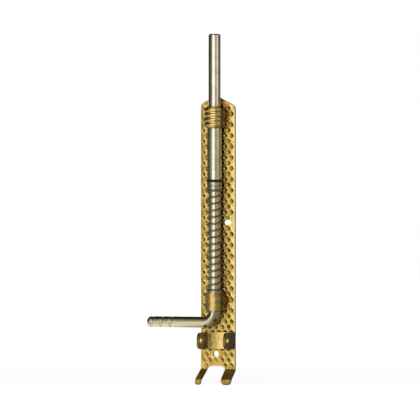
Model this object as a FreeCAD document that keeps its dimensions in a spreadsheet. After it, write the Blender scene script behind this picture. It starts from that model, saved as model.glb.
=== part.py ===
import FreeCAD, Part
import math
import os
import PartDesign
import Sketcher

# Spring door bolt on a long back plate. A steel rod with a bent handle slides up and down
# and turns in a guide tube and a bush; a compression spring round the rod pushes it up.
# Millimetres, +Z up along the rod, +X to the right, the wall at y = 0, the user at -Y.

SIZES = {
    # Sheet parts: the plate, both guides and the catch are pressed from one thickness
    "sheet_thick": 3,
    "bend_inside": 2,
    # Back plate, from the gable at its top to the two prongs at its foot
    "plate_w": 50,
    "plate_head": 16.6,
    "plate_tail": 27.2,
    "gable_angle": 26.5,
    "shoulder_round": 8,
    "punch_offset": 3,
    "notch_w": 27.6,
    "notch_rise": 3.8,
    "notch_round": 6.5,
    "joggle_reach": 17.2,
    "joggle_angle": 52,
    "prong_length": 21,
    "prong_splay": 1.5,
    "tip_share": 0.4,
    # Screw holes in the plate
    "slot_across": 14.3,
    "slot_up": 14.5,
    "slot_w": 7,
    "slot_length": 11,
    "foot_hole_d": 8,
    "foot_hole_drop": 7,
    # Guides, with a tenon at each leg's middle
    "upper_guide_top": 168.5,
    "upper_guide_length": 26,
    "lower_guide_top": -79.7,
    "lower_guide_length": 24.2,
    "tenon_length": 12,
    "rib_count": 4,
    "rib_pitch": 6.5,
    "rib_height": 0.8,
    "rib_radius": 4.6,
    # Guide tube and lower bush, both bored to the rod's running fit
    "run_clear": 0.1,
    "tube_wall": 1.5,
    "tube_length": 96.9,
    "flange_over": 0.7,
    "flange_thick": 2.5,
    "turned_edge": 0.5,
    # Rod and handle
    "rod_d": 16,
    "rod_reach": 82.5,
    "rod_chamfer": 1.5,
    "handle_d": 15,
    "handle_reach": 98.7,
    "handle_round": 6,
    "bend_radius": 15.4,
    "bend_gap": 0.3,
    "grip_count": 3,
    "grip_end": 8.5,
    "grip_pitch": 14,
    "grip_depth": 0.8,
    "grip_radius": 2.6,
    # Stop collar, its cross pin and the buffer ring above it, which just clears the plate
    "collar_wall": 2,
    "collar_length": 10.6,
    "collar_groove": 1.6,
    "collar_groove_depth": 0.7,
    "pin_d": 4,
    "pin_up": 2.8,
    "pin_recess": 0.2,
    "buffer_over": 1.2,
    "buffer_thick": 2.6,
    "buffer_clear": 0.4,
    "buffer_round": 0.8,
    "plate_clear": 0.3,
    # Catch bracket below the handle
    "handle_gap": 6,
    "catch_height": 22.2,
    "catch_w": 41.6,
    "catch_reach": 33,
    "ear_round": 8,
    "ear_hole_d": 8.5,
    "ear_hole_reach": 24.6,
    # Return spring
    "wire_d": 2,
    "spring_clear": 0.5,
    "spring_turns": 16.1,
    "spring_flat": 0.65,
    "spring_ease": 0.15,
    "spring_seat": 0.05,
    "spring_start": 140,
}

# Levels and offsets that follow from the sizes
BORE = "(Sizes.rod_d / 2 + Sizes.run_clear)"
TUBE_R = f"({BORE} + Sizes.tube_wall)"
GUIDE_R = f"({TUBE_R} + Sizes.sheet_thick)"
FLANGE_R = f"({TUBE_R} + Sizes.flange_over)"
BUFFER_R = f"({TUBE_R} + Sizes.buffer_over)"
COLLAR_R = "(Sizes.rod_d / 2 + Sizes.collar_wall)"
COIL_R = "(Sizes.rod_d / 2 + Sizes.spring_clear + Sizes.wire_d / 2)"
WALL = f"({BUFFER_R} + Sizes.plate_clear)"
ROD_Y = f"(-Sizes.sheet_thick - {WALL})"
UPPER_LOW = "(Sizes.upper_guide_top - Sizes.upper_guide_length)"
LOWER_LOW = "(Sizes.lower_guide_top - Sizes.lower_guide_length)"
PLATE_TOP = "(Sizes.upper_guide_top + Sizes.plate_head)"
ROD_TOP = f"({PLATE_TOP} + Sizes.rod_reach)"
TUBE_LOW = "(Sizes.upper_guide_top - Sizes.tube_length)"
BUFFER_LOW = f"({TUBE_LOW} - Sizes.buffer_thick)"
COLLAR_LOW = f"({BUFFER_LOW} - Sizes.collar_length)"
BUSH_TOP = "(Sizes.lower_guide_top + Sizes.flange_thick)"
HANDLE_Z = f"({LOWER_LOW} - Sizes.bend_gap - Sizes.bend_radius)"
CATCH_TOP = f"({HANDLE_Z} - Sizes.handle_d / 2 - Sizes.handle_gap)"
CATCH_LOW = f"({CATCH_TOP} - Sizes.catch_height)"
BEND_LINE = f"({CATCH_LOW} - Sizes.plate_tail)"
PRONG_TIP = f"({BEND_LINE} - Sizes.prong_length)"
MITRE = "(Sizes.sheet_thick * tan(Sizes.joggle_angle / 2))"
JOGGLE_DROP = "(Sizes.joggle_reach / tan(Sizes.joggle_angle))"
NOTCH_LEFT = "(-Sizes.punch_offset - Sizes.notch_w / 2)"
NOTCH_RIGHT = "(-Sizes.punch_offset + Sizes.notch_w / 2)"
NOTCH_TOP = f"({BEND_LINE} + Sizes.notch_rise)"
PLATE_LEFT = "(-Sizes.plate_w / 2)"
PLATE_RIGHT = "(Sizes.plate_w / 2)"
ZERO = "0"

doc = FreeCAD.newDocument("SpringDoorBolt")
sheet = doc.addObject("Spreadsheet::Sheet", "Sizes")
for row, (alias, value) in enumerate(SIZES.items(), start=1):
    sheet.set(f"A{row}", alias)
    sheet.set(f"B{row}", str(value))
    sheet.setAlias(f"B{row}", alias)
doc.recompute()


def size(expression):
    """The present value of an expression on the sheet's sizes."""
    return float(sheet.evalExpression(expression))


def new_body(label, y=ZERO, z=ZERO):
    """An empty body whose own origin stands at the given depth and level."""
    body = doc.addObject("PartDesign::Body", label)
    body.setExpression("Placement.Base.y", y)
    body.setExpression("Placement.Base.z", z)
    return body


def new_sketch(body, name, plane, offset=ZERO):
    """A sketch on one of the body's own origin planes, moved along the plane's normal."""
    support = next(o for o in body.Origin.OriginFeatures if o.Role == plane)
    sketch = body.newObject("Sketcher::SketchObject", f"{body.Label}_{name}")
    sketch.AttachmentSupport = (support, "")
    sketch.MapMode = "FlatFace"
    sketch.setExpression(".AttachmentOffset.Base.z", offset)
    return sketch


def pin_point(sketch, geometry, position, x, y):
    """Ties a sketch point to the expressions of its coordinates; None leaves one free."""
    for kind, axis, expression in (("DistanceX", -2, x), ("DistanceY", -1, y)):
        if expression is None:
            continue
        if expression == ZERO:
            sketch.addConstraint(Sketcher.Constraint("PointOnObject", geometry, position, axis))
            continue
        number = sketch.addConstraint(
            Sketcher.Constraint(kind, geometry, position, size(expression))
        )
        sketch.setExpression(f"Constraints[{number}]", expression)


def add_outline(sketch, corners):
    """Draws a closed outline through the corners, each one tied to its sizes."""
    places = [FreeCAD.Vector(size(x), size(y), 0) for x, y in corners]
    first = sketch.GeometryCount
    for here, there in zip(places, places[1:] + places[:1]):
        sketch.addGeometry(Part.LineSegment(here, there))
    count = len(corners)
    for number, (x, y) in enumerate(corners):
        before = first + (number - 1) % count
        sketch.addConstraint(Sketcher.Constraint("Coincident", before, 2, first + number, 1))
        pin_point(sketch, first + number, 1, x, y)


def add_rectangle(sketch, left, right, low, high):
    """Draws a rectangle between four tied sides."""
    add_outline(sketch, [(left, low), (right, low), (right, high), (left, high)])


def add_circle(sketch, x, y, radius):
    """Draws a circle with its centre and radius tied to their sizes."""
    centre = FreeCAD.Vector(size(x), size(y), 0)
    circle = sketch.addGeometry(Part.Circle(centre, FreeCAD.Vector(0, 0, 1), size(radius)))
    number = sketch.addConstraint(Sketcher.Constraint("Radius", circle, size(radius)))
    sketch.setExpression(f"Constraints[{number}]", radius)
    pin_point(sketch, circle, 3, x, y)


def add_slot(sketch, x, y, length, width):
    """Draws a level slot with round ends, tied to its centre, length and width."""
    half = f"(({length} - {width}) / 2)"
    up = FreeCAD.Vector(0, 0, 1)
    radius = size(width) / 2
    ends = [(f"({x} + {half})", -math.pi / 2, math.pi / 2)]
    ends.append((f"({x} - {half})", math.pi / 2, 3 * math.pi / 2))
    arcs = []
    for place, start, stop in ends:
        circle = Part.Circle(FreeCAD.Vector(size(place), size(y), 0), up, radius)
        arcs.append(sketch.addGeometry(Part.ArcOfCircle(circle, start, stop)))
        pin_point(sketch, arcs[-1], 3, place, y)
    for arc, other in (arcs, arcs[::-1]):
        start = sketch.getPoint(arc, 2)
        stop = sketch.getPoint(other, 1)
        line = sketch.addGeometry(Part.LineSegment(start, stop))
        sketch.addConstraint(Sketcher.Constraint("Tangent", arc, 2, line, 1))
        sketch.addConstraint(Sketcher.Constraint("Tangent", line, 2, other, 1))
    number = sketch.addConstraint(Sketcher.Constraint("Radius", arcs[0], radius))
    sketch.setExpression(f"Constraints[{number}]", f"{width} / 2")


def extrude(body, kind, name, sketch, length, side="One side", backwards=False):
    """Pads or pockets a sketch by a tied length."""
    feature = body.newObject(f"PartDesign::{kind}", f"{body.Label}_{name}")
    feature.Profile = sketch
    feature.SideType = side
    feature.Reversed = backwards
    feature.setExpression("Length", length)
    doc.recompute()
    return feature


def revolve(body, kind, name, sketch, axis, half_turn=False):
    """Turns a sketch about one of its own axes, all round or half round."""
    feature = body.newObject(f"PartDesign::{kind}", f"{body.Label}_{name}")
    feature.Profile = sketch
    feature.ReferenceAxis = (sketch, [axis])
    feature.Midplane = half_turn
    feature.Angle = 180 if half_turn else 360
    doc.recompute()
    return feature


def repeat(body, name, feature, axis, step, count):
    """Repeats a feature along one of its sketch's axes."""
    pattern = body.newObject("PartDesign::LinearPattern", f"{body.Label}_{name}")
    pattern.Originals = [feature]
    pattern.Direction = axis
    pattern.Mode = "Spacing"
    pattern.setExpression("Offset", step)
    pattern.setExpression("Occurrences", count)
    body.Tip = pattern
    doc.recompute()
    return pattern


def edges_along(shape, axis, **at):
    """Names the straight edges along an axis whose middles have the given coordinates."""
    names = []
    for number, edge in enumerate(shape.Edges, start=1):
        if len(edge.Vertexes) != 2 or edge.Curve.TypeId != "Part::GeomLine":
            continue
        start, stop = (vertex.Point for vertex in edge.Vertexes)
        span = stop - start
        middle = (start + stop) / 2
        lengthwise = abs(abs(getattr(span, axis)) - span.Length) < 1e-6
        if lengthwise and all(abs(getattr(middle, k) - v) < 1e-4 for k, v in at.items()):
            names.append(f"Edge{number}")
    return names


def circles_at(shape, radius, **at):
    """Names the full circles of a radius whose centres have the given coordinates."""
    names = []
    for number, edge in enumerate(shape.Edges, start=1):
        if edge.Curve.TypeId != "Part::GeomCircle" or len(edge.Vertexes) != 1:
            continue
        same = abs(edge.Curve.Radius - radius) < 1e-4
        if same and all(abs(getattr(edge.Curve.Center, k) - v) < 1e-4 for k, v in at.items()):
            names.append(f"Edge{number}")
    return names


def ease(body, kind, name, base, edges, amount):
    """Fillets or chamfers the named edges of the last feature by a tied amount."""
    feature = body.newObject(f"PartDesign::{kind}", f"{body.Label}_{name}")
    feature.Base = (base, edges)
    feature.setExpression("Radius" if kind == "Fillet" else "Size", amount)
    doc.recompute()
    return feature


def turned_part(label, outline, y, z):
    """A body turned about the rod's axis from an outline of radius and height."""
    body = new_body(label, y, z)
    sketch = new_sketch(body, "section", "XZ_Plane")
    add_outline(sketch, outline)
    revolve(body, "Revolution", "turning", sketch, "V_Axis")
    return body


def make_backplate():
    """Plate with a gabled head, a notched foot and two prongs joggled forward."""
    body = new_body("backplate")
    front = "(-Sizes.sheet_thick)"
    forward = "(-Sizes.sheet_thick - Sizes.joggle_reach)"
    low_bend = f"({BEND_LINE} - {JOGGLE_DROP})"
    side = new_sketch(body, "side", "YZ_Plane")
    add_outline(side, [
        (front, PLATE_TOP),
        (ZERO, PLATE_TOP),
        (ZERO, f"({BEND_LINE} - {MITRE})"),
        ("(-Sizes.joggle_reach)", f"({low_bend} - {MITRE})"),
        ("(-Sizes.joggle_reach)", PRONG_TIP),
        (forward, PRONG_TIP),
        (forward, low_bend),
        (front, BEND_LINE),
    ])
    blank_w = "(Sizes.plate_w + 4 * Sizes.prong_splay)"
    blank = extrude(body, "Pad", "blank", side, blank_w, "Symmetric")
    inner = edges_along(blank.Shape, "x", y=size(front), z=size(BEND_LINE))
    reach = size("-Sizes.joggle_reach")
    inner += edges_along(blank.Shape, "x", y=reach, z=size(f"{low_bend} - {MITRE}"))
    tight = ease(body, "Fillet", "inside_bends", blank, inner, "Sizes.bend_inside")
    outer = edges_along(tight.Shape, "x", y=0, z=size(f"{BEND_LINE} - {MITRE}"))
    outer += edges_along(tight.Shape, "x", y=size(forward), z=size(low_bend))
    outside = "Sizes.bend_inside + Sizes.sheet_thick"
    bent = ease(body, "Fillet", "outside_bends", tight, outer, outside)

    # The outline cut from the blank: gable, straight sides, prongs and the notch between
    shoulder_right = f"({PLATE_TOP} - ({PLATE_RIGHT} + Sizes.punch_offset) * tan(Sizes.gable_angle))"
    shoulder_left = f"({PLATE_TOP} + ({PLATE_LEFT} + Sizes.punch_offset) * tan(Sizes.gable_angle))"
    over = "Sizes.plate_w"
    arch = f"({NOTCH_TOP} - Sizes.notch_round)"
    cutter = new_sketch(body, "outline", "XZ_Plane")
    add_rectangle(cutter, f"(-{over})", over, f"({PRONG_TIP} - {over})", f"({PLATE_TOP} + {over})")
    add_outline(cutter, [
        ("(-Sizes.punch_offset)", PLATE_TOP),
        (PLATE_RIGHT, shoulder_right),
        (PLATE_RIGHT, BEND_LINE),
        (f"({PLATE_RIGHT} + Sizes.prong_splay)", PRONG_TIP),
        (f"({NOTCH_RIGHT} + Sizes.prong_splay)", PRONG_TIP),
        (NOTCH_RIGHT, arch),
        (NOTCH_LEFT, arch),
        (f"({NOTCH_LEFT} - Sizes.prong_splay)", PRONG_TIP),
        (f"({PLATE_LEFT} - Sizes.prong_splay)", PRONG_TIP),
        (PLATE_LEFT, BEND_LINE),
        (PLATE_LEFT, shoulder_left),
    ])
    through = "(4 * (Sizes.joggle_reach + Sizes.sheet_thick))"
    cut = extrude(body, "Pocket", "outline_cut", cutter, through, "Symmetric")

    # The notch's round top and the rounded corners of the outline
    crown = new_sketch(body, "notch_crown", "XZ_Plane")
    add_slot(crown, "(-Sizes.punch_offset)", arch, "Sizes.notch_w", "(2 * Sizes.notch_round)")
    last = extrude(body, "Pocket", "notch_crown_cut", crown, through, "Symmetric")
    if last.Shape.Volume >= cut.Shape.Volume:
        raise ValueError("the notch's round top missed the plate")
    shoulders = edges_along(last.Shape, "y", x=size(PLATE_RIGHT), z=size(shoulder_right))
    shoulders += edges_along(last.Shape, "y", x=size(PLATE_LEFT), z=size(shoulder_left))
    last = ease(body, "Fillet", "shoulders", last, shoulders, "Sizes.shoulder_round")
    prongs = (
        ("left_tip", f"({PLATE_LEFT} - Sizes.prong_splay)", f"({NOTCH_LEFT} - Sizes.prong_splay)"),
        ("right_tip", f"({NOTCH_RIGHT} + Sizes.prong_splay)", f"({PLATE_RIGHT} + Sizes.prong_splay)"),
    )
    for name, left, right in prongs:
        tips = edges_along(last.Shape, "y", x=size(left), z=size(PRONG_TIP))
        tips += edges_along(last.Shape, "y", x=size(right), z=size(PRONG_TIP))
        last = ease(body, "Fillet", name, last, tips, f"Sizes.tip_share * ({right} - {left})")

    # Screw holes, and the slots that take the guides' tenons
    holes = new_sketch(body, "holes", "XZ_Plane")
    add_slot(holes, "Sizes.slot_across", "Sizes.slot_up", "Sizes.slot_length", "Sizes.slot_w")
    foot = f"({CATCH_LOW} - Sizes.foot_hole_drop)"
    add_circle(holes, "(-Sizes.punch_offset)", foot, "(Sizes.foot_hole_d / 2)")
    for low, length in (
        (UPPER_LOW, "Sizes.upper_guide_length"),
        (LOWER_LOW, "Sizes.lower_guide_length"),
    ):
        start = f"({low} + ({length} - Sizes.tenon_length) / 2)"
        stop = f"({low} + ({length} + Sizes.tenon_length) / 2)"
        add_rectangle(holes, f"(-{GUIDE_R})", f"(-{TUBE_R})", start, stop)
        add_rectangle(holes, TUBE_R, GUIDE_R, start, stop)
    extrude(body, "Pocket", "holes_cut", holes, "(4 * Sizes.sheet_thick)", "Symmetric")
    return body


def make_guide(label, low, length, ribbed):
    """Strap bent over the tube, its legs on the plate and a tenon through it each side."""
    body = new_body(label, ROD_Y, low)
    barrel = new_sketch(body, "barrel", "XY_Plane")
    add_circle(barrel, ZERO, ZERO, GUIDE_R)
    last = extrude(body, "Pad", "barrel_pad", barrel, length)
    legs = new_sketch(body, "legs", "XY_Plane")
    add_rectangle(legs, f"(-{GUIDE_R})", GUIDE_R, ZERO, WALL)
    last = extrude(body, "Pad", "legs_pad", legs, length)
    if ribbed:
        rib_r = "Sizes.rib_radius"
        first = f"(({length} - (Sizes.rib_count - 1) * Sizes.rib_pitch) / 2)"
        bead = new_sketch(body, "rib", "YZ_Plane")
        add_circle(bead, f"({rib_r} - Sizes.rib_height - {GUIDE_R})", first, rib_r)
        rib = revolve(body, "Revolution", "rib_bead", bead, "V_Axis", half_turn=True)
        last = repeat(
            body, "ribs", rib, (bead, ["V_Axis"]), "Sizes.rib_pitch", "Sizes.rib_count"
        )
    inside = new_sketch(body, "inside", "XY_Plane")
    add_circle(inside, ZERO, ZERO, TUBE_R)
    bore = extrude(body, "Pocket", "bore", inside, f"(3 * {length})", "Symmetric")
    between = new_sketch(body, "between", "XY_Plane")
    add_rectangle(between, f"(-{TUBE_R})", TUBE_R, ZERO, f"(2 * {WALL})")
    gap = extrude(body, "Pocket", "gap", between, f"(3 * {length})", "Symmetric")
    if gap.Shape.Volume >= bore.Shape.Volume or bore.Shape.Volume >= last.Shape.Volume:
        raise ValueError(f"{label}: a cut missed its solid")
    tenons = new_sketch(body, "tenons", "XY_Plane", f"(({length} - Sizes.tenon_length) / 2)")
    deep = f"({WALL} + Sizes.sheet_thick)"
    add_rectangle(tenons, f"(-{GUIDE_R})", f"(-{TUBE_R})", WALL, deep)
    add_rectangle(tenons, TUBE_R, GUIDE_R, WALL, deep)
    extrude(body, "Pad", "tenons_pad", tenons, "Sizes.tenon_length")
    return body


def make_guide_tube():
    """Tube clamped in the upper guide; the rod runs in its bore."""
    edge = "Sizes.turned_edge"
    length = "Sizes.tube_length"
    outline = [
        (BORE, ZERO),
        (f"({TUBE_R} - {edge})", ZERO),
        (TUBE_R, edge),
        (TUBE_R, f"({length} - {edge})"),
        (f"({TUBE_R} - {edge})", length),
        (BORE, length),
    ]
    return turned_part("guide_tube", outline, ROD_Y, TUBE_LOW)


def make_lower_bush():
    """Flanged bush in the lower guide; the spring stands on its flange."""
    edge = "Sizes.turned_edge"
    top = "Sizes.flange_thick"
    outline = [
        (BORE, "(-Sizes.lower_guide_length)"),
        (TUBE_R, "(-Sizes.lower_guide_length)"),
        (TUBE_R, ZERO),
        (FLANGE_R, ZERO),
        (FLANGE_R, f"({top} - {edge})"),
        (f"({FLANGE_R} - {edge})", top),
        (BORE, top),
    ]
    return turned_part("lower_bush", outline, ROD_Y, "Sizes.lower_guide_top")


def make_buffer_ring():
    """Black ring on the rod between the tube's end and the stop collar."""
    inner = "(Sizes.rod_d / 2 + Sizes.buffer_clear)"
    thick = "Sizes.buffer_thick"
    outline = [(inner, ZERO), (BUFFER_R, ZERO), (BUFFER_R, thick), (inner, thick)]
    body = turned_part("buffer_ring", outline, ROD_Y, BUFFER_LOW)
    rims = circles_at(body.Tip.Shape, size(BUFFER_R), z=0)
    rims += circles_at(body.Tip.Shape, size(BUFFER_R), z=size(thick))
    ease(body, "Fillet", "rims", body.Tip, rims, "Sizes.buffer_round")
    return body


def make_stop_collar():
    """Grooved collar pinned to the rod; the spring pushes it up against the buffer ring."""
    rod = "(Sizes.rod_d / 2)"
    outer = COLLAR_R
    edge = "Sizes.turned_edge"
    top = "Sizes.collar_length"
    low = f"(({top} - Sizes.collar_groove) / 2)"
    high = f"(({top} + Sizes.collar_groove) / 2)"
    floor = f"({outer} - Sizes.collar_groove_depth)"
    outline = [
        (rod, ZERO),
        (f"({outer} - {edge})", ZERO),
        (outer, edge),
        (outer, low),
        (floor, low),
        (floor, high),
        (outer, high),
        (outer, f"({top} - {edge})"),
        (f"({outer} - {edge})", top),
        (rod, top),
    ]
    body = turned_part("stop_collar", outline, ROD_Y, COLLAR_LOW)
    hole = new_sketch(body, "pin_hole", "YZ_Plane")
    add_circle(hole, ZERO, "Sizes.pin_up", "(Sizes.pin_d / 2)")
    extrude(body, "Pocket", "pin_bore", hole, f"(4 * {COLLAR_R})", "Symmetric")
    return body


def make_collar_pin():
    """Cross pin through the collar and the rod, a little below the collar's surface."""
    body = new_body("collar_pin", ROD_Y, f"({COLLAR_LOW} + Sizes.pin_up)")
    section = new_sketch(body, "section", "YZ_Plane")
    add_circle(section, ZERO, ZERO, "(Sizes.pin_d / 2)")
    long = f"(2 * {COLLAR_R} - 4 * Sizes.pin_recess)"
    extrude(body, "Pad", "shank", section, long, "Symmetric")
    return body


def make_bolt_rod():
    """Round rod, bent to one side at its foot into a thinner handle with grip grooves."""
    body = new_body("bolt_rod", ROD_Y, HANDLE_Z)
    rod_r = "(Sizes.rod_d / 2)"
    handle_r = "(Sizes.handle_d / 2)"
    bend = "Sizes.bend_radius"
    top = f"({ROD_TOP} - {HANDLE_Z})"
    shaft = new_sketch(body, "shaft", "XY_Plane", bend)
    add_circle(shaft, ZERO, ZERO, rod_r)
    last = extrude(body, "Pad", "shaft_pad", shaft, f"({top} - {bend})")

    # The bend draws down from the rod's size to the handle's
    path = new_sketch(body, "bend_path", "XZ_Plane")
    centre = FreeCAD.Vector(-size(bend), size(bend), 0)
    circle = Part.Circle(centre, FreeCAD.Vector(0, 0, 1), size(bend))
    arc = path.addGeometry(Part.ArcOfCircle(circle, -math.pi / 2, 0))
    pin_point(path, arc, 3, f"(-{bend})", bend)
    pin_point(path, arc, 1, f"(-{bend})", ZERO)
    pin_point(path, arc, 2, None, bend)
    start = new_sketch(body, "bend_start", "XY_Plane", bend)
    add_circle(start, ZERO, ZERO, rod_r)
    stop = new_sketch(body, "bend_end", "YZ_Plane", f"(-{bend})")
    add_circle(stop, ZERO, ZERO, handle_r)
    doc.recompute()
    elbow = body.newObject("PartDesign::AdditivePipe", "bolt_rod_elbow")
    elbow.Profile = start
    elbow.Spine = (path, ["Edge1"])
    elbow.Sections = [(stop, [""])]
    elbow.Transformation = "Multisection"
    doc.recompute()
    if elbow.Shape.Volume <= last.Shape.Volume:
        raise ValueError("bolt_rod: the bend added nothing")

    grip = new_sketch(body, "handle", "YZ_Plane", f"(-{bend})")
    add_circle(grip, ZERO, ZERO, handle_r)
    reach = f"(Sizes.handle_reach - {bend})"
    last = extrude(body, "Pad", "handle_pad", grip, reach, backwards=True)

    groove = new_sketch(body, "grip_groove", "XZ_Plane")
    centre_up = f"({handle_r} + Sizes.grip_radius - Sizes.grip_depth)"
    last_grip = "(Sizes.grip_end - Sizes.handle_reach)"
    add_circle(groove, last_grip, centre_up, "Sizes.grip_radius")
    first = revolve(body, "Groove", "grip_cut", groove, "H_Axis")
    along = (groove, ["H_Axis"])
    cuts = repeat(body, "grips", first, along, "Sizes.grip_pitch", "Sizes.grip_count")
    if not cuts.Shape.Volume < first.Shape.Volume < last.Shape.Volume:
        raise ValueError("bolt_rod: a grip groove missed the handle")

    tip = circles_at(cuts.Shape, size(handle_r), x=size("-Sizes.handle_reach"))
    last = ease(body, "Fillet", "handle_tip", cuts, tip, "Sizes.handle_round")
    rim = circles_at(last.Shape, size(rod_r), z=size(top))
    last = ease(body, "Chamfer", "rod_tip", last, rim, "Sizes.rod_chamfer")
    hole = new_sketch(body, "pin_hole", "YZ_Plane")
    level = f"({COLLAR_LOW} + Sizes.pin_up - {HANDLE_Z})"
    add_circle(hole, ZERO, level, "(Sizes.pin_d / 2)")
    extrude(body, "Pocket", "pin_bore", hole, "(2 * Sizes.rod_d)", "Symmetric")
    return body


def make_catch_bracket():
    """Strap welded to the plate, its two ears forward and bored for a padlock."""
    body = new_body("catch_bracket", "(-Sizes.sheet_thick)", CATCH_LOW)
    thick = "Sizes.sheet_thick"
    left = f"({PLATE_RIGHT} - Sizes.catch_w)"
    left_in = f"({left} + {thick})"
    right_in = f"({PLATE_RIGHT} - {thick})"
    ends = "(-Sizes.catch_reach)"
    strap = new_sketch(body, "strap", "XY_Plane")
    add_outline(strap, [
        (left, ZERO),
        (PLATE_RIGHT, ZERO),
        (PLATE_RIGHT, ends),
        (right_in, ends),
        (right_in, f"(-{thick})"),
        (left_in, f"(-{thick})"),
        (left_in, ends),
        (left, ends),
    ])
    last = extrude(body, "Pad", "strap_pad", strap, "Sizes.catch_height")
    inner = edges_along(last.Shape, "z", x=size(left_in), y=size(f"-{thick}"))
    inner += edges_along(last.Shape, "z", x=size(right_in), y=size(f"-{thick}"))
    last = ease(body, "Fillet", "inside_bends", last, inner, "(Sizes.bend_inside / 2)")
    outer = edges_along(last.Shape, "z", x=size(left), y=0)
    outer += edges_along(last.Shape, "z", x=size(PLATE_RIGHT), y=0)
    outside = f"(Sizes.bend_inside / 2 + {thick})"
    last = ease(body, "Fillet", "outside_bends", last, outer, outside)
    corners = []
    for level in (0, size("Sizes.catch_height")):
        corners += edges_along(last.Shape, "x", y=size(ends), z=level)
    last = ease(body, "Fillet", "ear_corners", last, corners, "Sizes.ear_round")
    holes = new_sketch(body, "ear_holes", "YZ_Plane")
    middle = "(Sizes.catch_height / 2)"
    add_circle(holes, "(-Sizes.ear_hole_reach)", middle, "(Sizes.ear_hole_d / 2)")
    extrude(body, "Pocket", "ear_bores", holes, "(2 * Sizes.plate_w)", "Symmetric")
    return body


def spring_rise(turn, turns, flat, ease_turns, pitch):
    """Height of the wire's centre above its low end, with a flat part turn at each end."""
    if turn > turns / 2:
        total = pitch * (turns - 2 * flat)
        return total - spring_rise(turns - turn, turns, flat, ease_turns, pitch)
    into = turn - (flat - ease_turns)
    if into <= 0:
        return 0.0
    if into < 2 * ease_turns:
        return pitch * into * into / (4 * ease_turns)
    return pitch * (turn - flat)


def biarc(start, start_way, stop, stop_way):
    """Two arcs that join two points and are tangent to a direction at each."""
    chord = stop - start
    ways = start_way + stop_way
    square = 2 * (1 - start_way.dot(stop_way))
    along = chord.dot(ways)
    reach = (-along + math.sqrt(along * along + square * chord.dot(chord))) / square
    corners = (start + start_way * reach, stop - stop_way * reach)
    middle = (corners[0] + corners[1]) / 2
    arcs = []
    for first, corner, last in ((start, corners[0], middle), (middle, corners[1], stop)):
        weight = (corner - first).normalize().dot((last - first).normalize())
        crown = (first + corner * (2 * weight) + last) / (2 + 2 * weight)
        arcs.append(Part.Arc(first, crown, last).toShape())
    return arcs


def make_return_spring():
    """Right-hand compression spring round the rod, from the bush's flange to the collar."""
    wire = size("Sizes.wire_d")
    radius = size(COIL_R)
    seat = size("Sizes.spring_seat")
    low = size(BUSH_TOP) + wire / 2 + seat
    high = size(COLLAR_LOW) - wire / 2 - seat
    turns = size("Sizes.spring_turns")
    flat = size("Sizes.spring_flat")
    ease_turns = size("Sizes.spring_ease")
    pitch = (high - low) / (turns - 2 * flat)
    top_angle = math.radians(size("Sizes.spring_start"))

    def place(turn):
        angle = top_angle + 2 * math.pi * (turn - turns)
        height = spring_rise(turn, turns, flat, ease_turns, pitch)
        return FreeCAD.Vector(radius * math.cos(angle), radius * math.sin(angle), height)

    def way(turn):
        step = 1e-4
        before = place(max(turn - step, 0))
        after = place(min(turn + step, turns))
        return (after - before).normalize()

    steps = 4 * math.ceil(turns)
    edges = []
    for number in range(steps):
        start = turns * number / steps
        stop = turns * (number + 1) / steps
        edges += biarc(place(start), way(start), place(stop), way(stop))
    path = Part.Wire(edges)
    ring = Part.Wire(Part.Circle(place(0), way(0), wire / 2).toShape())
    coil = path.makePipeShell([ring], True, False)

    # Least gap between one turn and the next, measured on points of the wire's centre line
    samples = 48
    centres = [place(turns * i / (samples * steps // 4)) for i in range(samples * steps // 4 + 1)]
    per_turn = round(len(centres) / turns)
    least = math.inf
    for number, here in enumerate(centres):
        for there in centres[number + per_turn // 2:number + per_turn * 3 // 2]:
            least = min(least, here.distanceToPoint(there))
    print(f"return_spring: pitch {pitch:.2f} mm, least gap {least - wire:.2f} mm")
    swept = math.pi * wire * wire / 4 * path.Length
    print(f"return_spring: volume {coil.Volume:.1f} mm3, wire section times length {swept:.1f}")

    spring = doc.addObject("Part::Feature", "return_spring")
    spring.Shape = coil
    spring.Placement = FreeCAD.Placement(
        FreeCAD.Vector(0, size(ROD_Y), low), FreeCAD.Rotation()
    )
    return spring


pieces = [
    make_backplate(),
    make_guide("upper_guide", UPPER_LOW, "Sizes.upper_guide_length", ribbed=True),
    make_guide("lower_guide", LOWER_LOW, "Sizes.lower_guide_length", ribbed=False),
    make_guide_tube(),
    make_lower_bush(),
    make_catch_bracket(),
    make_return_spring(),
    make_buffer_ring(),
    make_stop_collar(),
    make_collar_pin(),
    make_bolt_rod(),
]
doc.recompute()

for thing in doc.Objects:
    if "Invalid" in thing.State or "Error" in thing.State:
        raise ValueError(f"{thing.Name} failed: {thing.State}")
for piece in pieces:
    if piece.Shape.isNull() or not piece.Shape.isValid() or len(piece.Shape.Solids) != 1:
        raise ValueError(f"{piece.Label} is not one valid solid")

os.makedirs("parts", exist_ok=True)
for piece in pieces:
    piece.Shape.exportStep(f"parts/{piece.Label}.step")
    print(f"{piece.Label}: {piece.Shape.Volume:.0f} mm3")
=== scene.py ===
"""Spring door bolt: finishes, pressed dimples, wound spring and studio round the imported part."""
import logging
import math
from dataclasses import dataclass
from enum import Enum
from typing import NamedTuple

import bmesh
import bpy
import numpy as np
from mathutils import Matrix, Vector
from mathutils.geometry import delaunay_2d_cdt


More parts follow.
